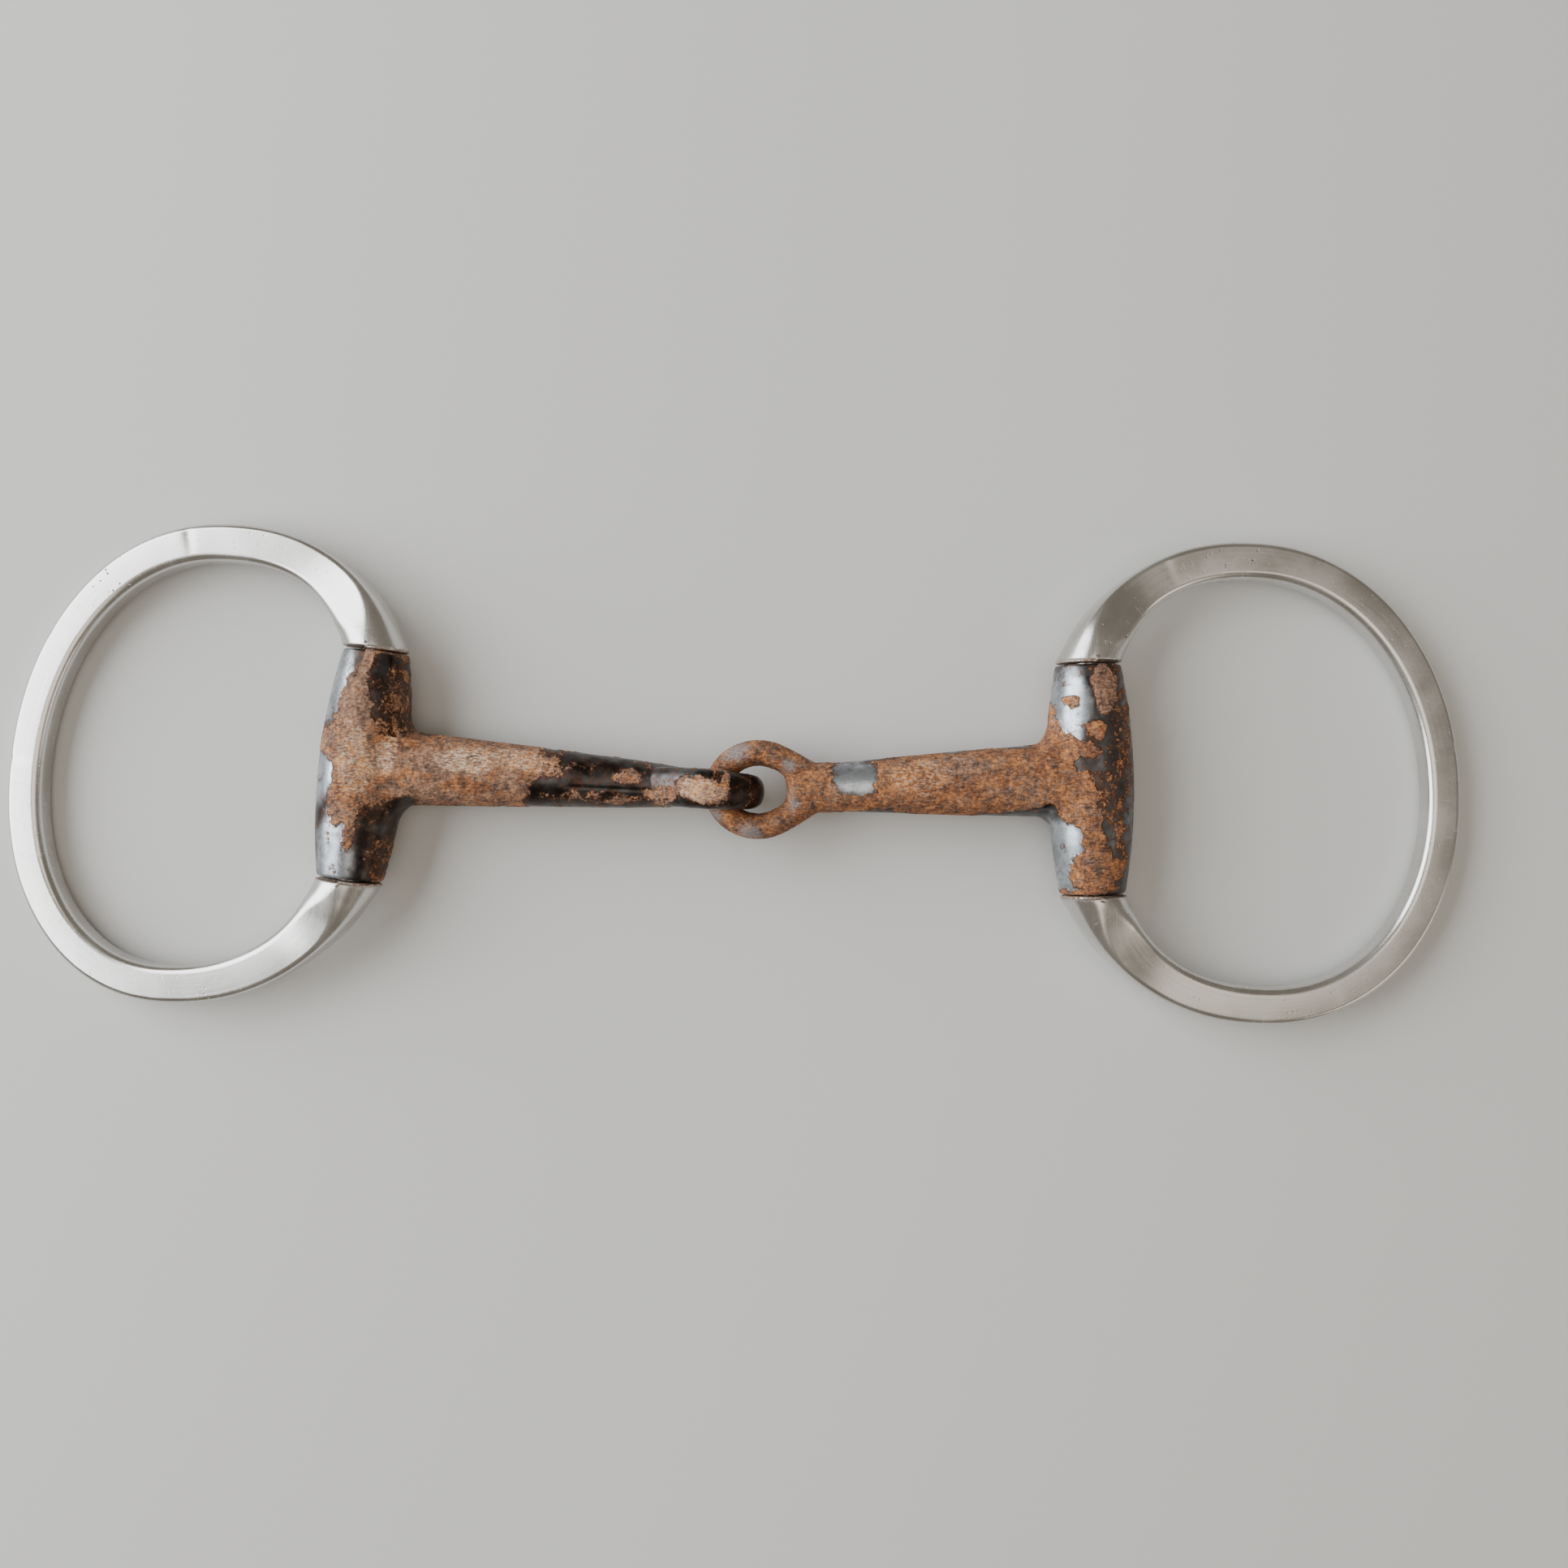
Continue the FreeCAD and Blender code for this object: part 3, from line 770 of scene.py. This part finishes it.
def ring_centre_line(ring):
    """Even stations along the middle of the bar in the ring's own plane, and their directions."""
    reach, lean = ring["reach"], math.tan(math.radians(ring["lean"]))
    at_end = RING_END / RING_HALF_HEIGHT
    near = RING_WIDEST_AT / (1 - at_end**RING_NEAR_ROUNDNESS) ** (1 / RING_NEAR_ROUNDNESS)
    start = math.pi - math.asin(at_end ** (RING_NEAR_ROUNDNESS / 2))
    angle = np.linspace(start, -start, 8 * RING_STATIONS)
    c, s = np.cos(angle), np.sin(angle)
    length = np.where(c > 0, reach - RING_WIDEST_AT, near)
    power = 2 / np.where(c > 0, RING_FAR_ROUNDNESS, RING_NEAR_ROUNDNESS)
    out = RING_WIDEST_AT + np.sign(c) * length * np.abs(c) ** power
    along = np.sign(s) * RING_HALF_HEIGHT * np.abs(s) ** power
    along = along - out * lean - ring["bend"] * (out / reach) ** 2
    line = np.column_stack([ring["outward"] * out, along])
    travelled = np.concatenate([[0], np.cumsum(np.hypot(*np.diff(line, axis=0).T))])
    even = np.linspace(0, travelled[-1], RING_STATIONS)
    line = np.column_stack([np.interp(even, travelled, line[:, axis]) for axis in range(2)])
    direction = np.gradient(line, axis=0)
    direction /= np.hypot(*direction.T)[:, None]
    return even, line, direction


def bar_section(half_width, half_up, inner_edge, outer_edge):
    """Points round a flat bar: inwards and up, with a radius on each edge; and the way round it."""
    corners = [(1, 1, inner_edge), (-1, 1, outer_edge), (-1, -1, outer_edge), (1, -1, inner_edge)]
    points = []
    for number, (side, top, radius) in enumerate(corners):
        radius = min(radius, half_width, half_up)
        for step in range(RING_QUARTER):
            angle = math.pi / 2 * (number + step / (RING_QUARTER - 1))
            x = side * (half_width - radius) + radius * math.cos(angle)
            z = top * (half_up - radius) + radius * math.sin(angle)
            points.append((x, z))
    return np.array(points)


def ring_sections(ring):
    """The bar's section at each station, in the ring's own frame, with the way along and round."""
    travelled, line, direction = ring_centre_line(ring)
    nearer = np.minimum(travelled, travelled[-1] - travelled)
    loops = []
    ways = []
    for number, distance in enumerate(nearer):
        turned = min(distance / SHOULDER_WIDTH_FADE, 1)
        facing = np.array([0, 1]) * (1 - turned) + direction[number] * turned
        facing /= np.hypot(*facing)
        inwards = np.array([facing[1], -facing[0]]) * ring["outward"]
        body = between(RING_SIDE_WIDTH, RING_FAR_WIDTH, 2 * distance / travelled[-1]) / 2
        swell = (RING_END_DIAMETER - RING_SIDE_WIDTH) / 2
        half_width = body + swell * math.exp(-((distance / SHOULDER_WIDTH_FADE) ** SHOULDER_WIDTH_POWER))
        thicken = (RING_END_DIAMETER - RING_THICKNESS) / 2
        half_up = RING_THICKNESS / 2 + thicken * math.exp(-((distance / SHOULDER_THICKNESS_FADE) ** 2))
        round_share = math.exp(-((distance / SHOULDER_ROUND_FADE) ** 2))
        inner = between(RING_INNER_EDGE, RING_END_DIAMETER / 2, round_share)
        outer = between(RING_OUTER_EDGE, RING_END_DIAMETER / 2, round_share)
        flat = bar_section(half_width, half_up, inner, outer)
        loop = np.empty((len(flat), 3))
        loop[:, :2] = line[number] + flat[:, :1] * inwards
        loop[:, 2] = flat[:, 1]
        around = np.concatenate([[0], np.cumsum(np.hypot(*np.diff(flat, axis=0).T))])
        loops.append(loop)
        ways.append(np.column_stack([np.full(len(flat), travelled[number]), around]))
    return loops, ways


def bevelled(loops, ways):
    """Turns the rim at each end of the bar into a small bevel, which catches the light."""
    shrink = 1 - 2 * RING_END_BEVEL / RING_END_DIAMETER
    back = np.array([0, RING_END_BEVEL, 0])
    first, last = loops[0].mean(axis=0), loops[-1].mean(axis=0)
    start = [first + (loops[0] - first) * shrink, loops[0] + back]
    end = [loops[-1] - back, last + (loops[-1] - last) * shrink]
    return [*start, *loops[1:-1], *end], [ways[0], *ways, ways[-1]]


def bar_mesh(name, loops, ways):
    """A closed skin over the loops, with a flat cap on each end and a map along and round it."""
    count = len(loops[0])
    mesh = bpy.data.meshes.new(name)
    faces = []
    map_places = []
    for row in range(len(loops) - 1):
        first, second = row * count, (row + 1) * count
        last_way = ways[row][-1][1] + RING_SEAM_WAY
        for column in range(count):
            following = (column + 1) % count
            faces.append((first + column, second + column, second + following, first + following))
            near, far = ways[row][column], ways[row + 1][column]
            next_near = ways[row][following] if following else (ways[row][0][0], last_way)
            next_far = ways[row + 1][following] if following else (ways[row + 1][0][0], last_way)
            map_places.extend([near, far, next_far, next_near])
    last = (len(loops) - 1) * count
    faces.append(tuple(range(count)))
    faces.append(tuple(last + number for number in reversed(range(count))))
    map_places.extend(list(ways[0]) + list(reversed(ways[-1])))
    mesh.from_pydata(np.vstack(loops).tolist(), [], faces)
    layer = mesh.uv_layers.new(name="bar")
    layer.data.foreach_set("uv", np.array(map_places, np.float32).ravel())
    shell = bmesh.new()
    shell.from_mesh(mesh)
    if shell.calc_volume(signed=True) < 0:
        mesh.flip_normals()
    shell.free()
    return mesh


def make_ring(name, material):
    """A ring's skin: a flat bar bent round, with nicks on its edges, hung on its hinge's axis."""
    ring = RINGS[name]
    joint = JOINTS[ring["joint"]]
    axis = Vector(joint["axis"]) * math.copysign(1, joint["axis"][1])
    turn = Matrix.Rotation(math.atan2(-axis.x, axis.y), 4, "Z")
    drop = Matrix.Rotation(math.radians(ring["outward"] * ring["tilt"]), 4, "Y")
    loops, ways = bevelled(*ring_sections(ring))
    mesh = bar_mesh(name, loops, ways)
    mesh.transform(Matrix.Translation(Vector(joint["pos_m"]) / MM) @ turn @ drop)
    mesh.update()
    places, normals = mesh_places(mesh), mesh_normals(mesh)
    travelled = np.repeat([way[0][0] for way in ways], len(loops[0]))
    from_end = np.minimum(travelled, travelled.max() - travelled)
    clear_of_end = soft_step(RING_END_KEPT, RING_END_BLENDED, from_end)
    push = -(RING_INSET + RING_WAVE * (1 + cloud(places, *RING_WAVE_CLOUD))) * clear_of_end
    for x, y in ring["dents"]:
        away = np.hypot(places[:, 0] - x, places[:, 1] - y)
        push -= DENT_DEPTH * np.exp(-((away / DENT_RADIUS) ** 2))
    set_places(mesh, places + normals * push[:, None])
    pitted = np.full(len(places), PITTED_EVERYWHERE)
    for x, y, radius in ring["pitted"]:
        away = np.hypot(places[:, 0] - x, places[:, 1] - y)
        pitted = np.maximum(pitted, soft_step(radius, radius * PITTED_CORE, away))
    store(mesh, "pitted", pitted)
    store(mesh, "stain", soft_step(*STAIN_FADES, from_end))
    return finished_piece(name + "_bar", mesh, material, joint["child"], name)


# --- mouthpiece arms ------------------------------------------------------------------------------


def remeshed(node):
    """An even, fine mesh of a CAD node's surface, in millimetres."""
    mesh = frame["nodes"][node].data.copy()
    mesh.transform(Matrix.Scale(1 / MM, 4))
    source = bpy.data.objects.new("remesh_source", mesh)
    bpy.context.scene.collection.objects.link(source)
    modifier = source.modifiers.new("even", "REMESH")
    modifier.mode = "VOXEL"
    modifier.voxel_size = VOXEL
    graph = bpy.context.evaluated_depsgraph_get()
    result = bpy.data.meshes.new_from_object(source.evaluated_get(graph))
    bpy.data.objects.remove(source)
    return result


def hinge_of(arm_body):
    """The ring hinge on an arm: its place in millimetres, and its axis."""
    joint = next(j for j in frame["joints"] if j["parent"] == arm_body and "ring" in j["name"])
    return np.array(joint["pos_m"]) / MM, np.array(joint["axis"])


def hollowed(name, places, hinge, link):
    """Turns the flare where the cannon leaves the barrel into a round hollow."""
    way = (link - hinge)[:2] / np.hypot(*(link - hinge)[:2])
    side = np.array([-way[1], way[0]])
    out = (places - hinge)[:, :2] @ way
    off = (places - hinge)[:, :2] @ side
    share = np.clip((out - BARREL_RADIUS) / (NECK_FROM_BARREL[name] - BARREL_RADIUS), 0, 1)
    radius = between(CANNON_ROOT_RADIUS, NECK_RADIUS, share)
    flare = FLARE_SIZE * np.exp(np.minimum((BARREL_RADIUS + FLARE_START - out) / FLARE_FADE, 0))
    left = 1 - np.clip((out - BARREL_RADIUS + HOLLOW_LEAD) / HOLLOW_SIZE, 0, 1)
    hollow = HOLLOW_SIZE * (1 - np.sqrt(1 - left**2))
    factor = (radius + hollow) / (radius + flare)
    where = soft_step(*HOLLOW_BEGINS, out) * soft_step(*HOLLOW_SIDES, np.abs(off))
    factor = 1 + (factor - 1) * where
    return places + ((factor - 1) * off)[:, None] * np.array([*side, 0])


def eye_wall(places, normals, hinge, link):
    """The nearest point to the barrel on the wall of the eye's opening, on the arm's own line."""
    way = (link - hinge) / np.linalg.norm(link - hinge)
    out = (places - link) @ way
    off = np.linalg.norm(places - link - out[:, None] * way, axis=1)
    in_opening = (off < EYE_WALL_REACH) & (out < 0) & (out > -EYE_OPENING_LENGTH)
    wall = places[in_opening & (normals @ way > EYE_WALL_FACING)]
    return wall[np.argmin((wall - hinge) @ (link - hinge))]


def shaped_arm(name, mesh, hinge, axis, link):
    """Reshapes an arm's even mesh, and returns which of its points are in the bore."""
    edges = mesh_edges(mesh)
    places = smoothed(mesh_places(mesh), edges, SKIN_ROUNDS, SMOOTHING)
    along_axis = (places - hinge) @ axis
    from_axis = np.linalg.norm(places - hinge - along_axis[:, None] * axis, axis=1)
    in_bore = from_axis < BORE_RADIUS + BORE_SKIN

    places = hollowed(name, places, hinge, link)
    near = soft_step(*JUNCTION_FADES, np.abs(from_axis - JUNCTION_FROM_AXIS))
    junction = near * soft_step(*JUNCTION_ENDS, np.abs(along_axis))
    towards = (places - hinge) @ (link - hinge) > 0
    places = smoothed(places, edges, JUNCTION_ROUNDS, SMOOTHING * junction * towards)

    set_places(mesh, places)
    normals = mesh_normals(mesh)
    from_wall = np.linalg.norm(places - eye_wall(places, normals, hinge, link), axis=1)
    facing = ((link - places) * normals).sum(axis=1) > 0
    places = smoothed(places, edges, EYE_ROUNDS, SMOOTHING * soft_step(*EYE_FADES, from_wall) * facing)

    radial = places - hinge - ((places - hinge) @ axis)[:, None] * axis
    snapped = places + radial * (BORE_RADIUS / np.linalg.norm(radial, axis=1) - 1)[:, None]
    on_wall = in_bore & (np.abs(along_axis) < BORE_HALF_LENGTH)
    set_places(mesh, np.where(on_wall[:, None], snapped, places))
    return in_bore


def arm_layers(name, places, normals):
    """What the iron's material reads at each point: rust, its tone, pale deposit, blue (bare oxide and
    painted highlight), rubbed (worn crests and painted highlight).
    """
    arm = ARMS[name]
    ragged = places
    for wander in EDGE_WANDERS:
        ragged = wandered(ragged, *wander)
    blank = np.zeros(len(places))
    evenly, patchily = UNDERSIDE_RUST
    under = evenly + patchily * cloud(places, *UNDERSIDE_CLOUD)
    below = soft_step(*UNDERSIDE_FADES, normals[:, 2])
    rust = painted(ragged, blank + GROUND["rust"], arm["rust"]) * (1 - below) + under * below
    clouds = RUST_CLOUD_SHARE * cloud(places, *RUST_CLOUD)
    rust = RUST_STRENGTH * rust + clouds + RUST_SPOT_SHARE * cloud(places, *RUST_SPOT_CLOUD)
    tone = painted(ragged, blank + arm["freshness"], arm["tone"])
    # Blue: bare blue-grey oxide and, on the barrels' flanks, a painted highlight.
    blue = painted(ragged, blank + GROUND["blue"], arm["blue"])
    # Rubbed: worn crests of the eye that also carry a painted highlight.
    rubbed = blank
    for x, y, z, radius in RUBBED_AND_HIGHLIT[name]:
        away = np.linalg.norm(places - np.array([x, y, z]), axis=1)
        rubbed = np.maximum(rubbed, soft_step(RUBBED_FADE * radius, 0, away))
    return {
        "rust": rust,
        "tone": tone + TONE_CLOUD_SHARE * cloud(places, *TONE_CLOUD),
        "pale": painted(ragged, blank + GROUND["pale"], arm["pale"]),
        "blue": blue + BLUE_CLOUD_SHARE * cloud(places, *BLUE_CLOUD),
        "rubbed": rubbed,
    }


def arm_relief(name, places, normals, rust, in_bore):
    """How far the skin stands out at each point: raised crusts with pits, and creases."""
    crust = soft_step(*CRUST_FADES, rust) * ~in_bore
    grains = np.abs(cloud(places, *GRAIN_CLOUD))
    relief = crust * (CRUST_HEIGHT + GRAIN_HEIGHT * (grains - 0.5)) - CRUST_HEIGHT
    relief -= PIT_DEPTH * soft_step(*PIT_FADES, cloud(places, *PIT_CLOUD)) * crust
    for x1, y1, x2, y2, depth, breadth in CREASES[name]:
        share = np.clip((places[:, 0] - x1) / (x2 - x1), 0, 1)
        off = (places[:, 1] - y1 - share * (y2 - y1)) / breadth
        ends = soft_step(0, CREASE_END, share) * soft_step(1, 1 - CREASE_END, share)
        relief -= depth * ends * np.exp(-(off**2)) * (normals[:, 2] > 0)
    return np.where(in_bore, 0, relief)


def make_arm(name, material):
    """An arm's skin: the design's solid, softened and corroded, and kept inside its box."""
    body = ARMS[name]["body"]
    hinge, axis = hinge_of(body)
    link = np.array(JOINTS["centre_link"]["pos_m"]) / MM
    mesh = remeshed(name)
    in_bore = shaped_arm(name, mesh, hinge, axis, link)
    places, normals = mesh_places(mesh), mesh_normals(mesh)
    layers = arm_layers(name, places, normals)
    relief = arm_relief(name, places, normals, layers["rust"], in_bore)
    low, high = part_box(name)
    moved = np.clip(places + normals * relief[:, None], np.array(low) / MM, np.array(high) / MM)
    set_places(mesh, moved)
    for layer, values in layers.items():
        store(mesh, layer, np.clip(values, 0, 1))
    return finished_piece(name + "_skin", mesh, material, body, name)


# --- floor, lights and camera ---------------------------------------------------------------------


def make_floor():
    size = FLOOR_HALF_SIZE
    corners = [(-size, -size, 0), (size, -size, 0), (size, size, 0), (-size, size, 0)]
    mesh = bpy.data.meshes.new("floor")
    mesh.from_pydata(corners, [], [(0, 1, 2, 3)])
    floor = bpy.data.objects.new("floor", mesh)
    floor.location.z = cad_low.z
    bpy.context.scene.collection.objects.link(floor)
    material, _, shader = new_material("pale_floor")
    shader.inputs["Base Color"].default_value = FLOOR_COLOUR
    shader.inputs["Roughness"].default_value = FLOOR_ROUGHNESS
    mesh.materials.append(material)


def make_light(name, place, width, height, power, colour):
    """A rectangular light that faces the origin, and that the camera doesn't see."""
    data = bpy.data.lights.new(name, "AREA")
    data.shape = "RECTANGLE"
    data.size, data.size_y = width, height
    data.energy = power
    data.color = colour
    light = bpy.data.objects.new(name, data)
    light.location = place
    light.rotation_euler = (-Vector(place)).to_track_quat("-Z", "Y").to_euler()
    light.visible_camera = False
    bpy.context.scene.collection.objects.link(light)


def make_room_light():
    world = bpy.data.worlds.new("studio")
    world.use_nodes = True
    world.node_tree.nodes["Background"].inputs["Color"].default_value = ROOM_COLOUR
    world.node_tree.nodes["Background"].inputs["Strength"].default_value = ROOM_LIGHT
    bpy.context.scene.world = world


def make_camera():
    data = bpy.data.cameras.new("camera")
    data.angle = math.radians(CAMERA_FIELD)
    data.clip_start = CAMERA_CLIP * MM
    camera = bpy.data.objects.new("camera", data)
    camera.location = Vector(CAMERA_AT) * MM
    bpy.context.scene.collection.objects.link(camera)
    bpy.context.scene.camera = camera


noise.seed_set(NOISE_SEED)
make_camera()
for light_settings in LIGHTS:
    make_light(*light_settings)
make_room_light()
make_floor()
steel = steel_material()
iron = iron_material()
pin_steel = pin_material()
for ring_name in RINGS:
    make_ring(ring_name, steel)
for arm_name in ARMS:
    make_arm(arm_name, iron)
for pin_name in ("left_hinge_pin", "right_hinge_pin"):
    frame["nodes"][pin_name].material_slots[0].material = pin_steel
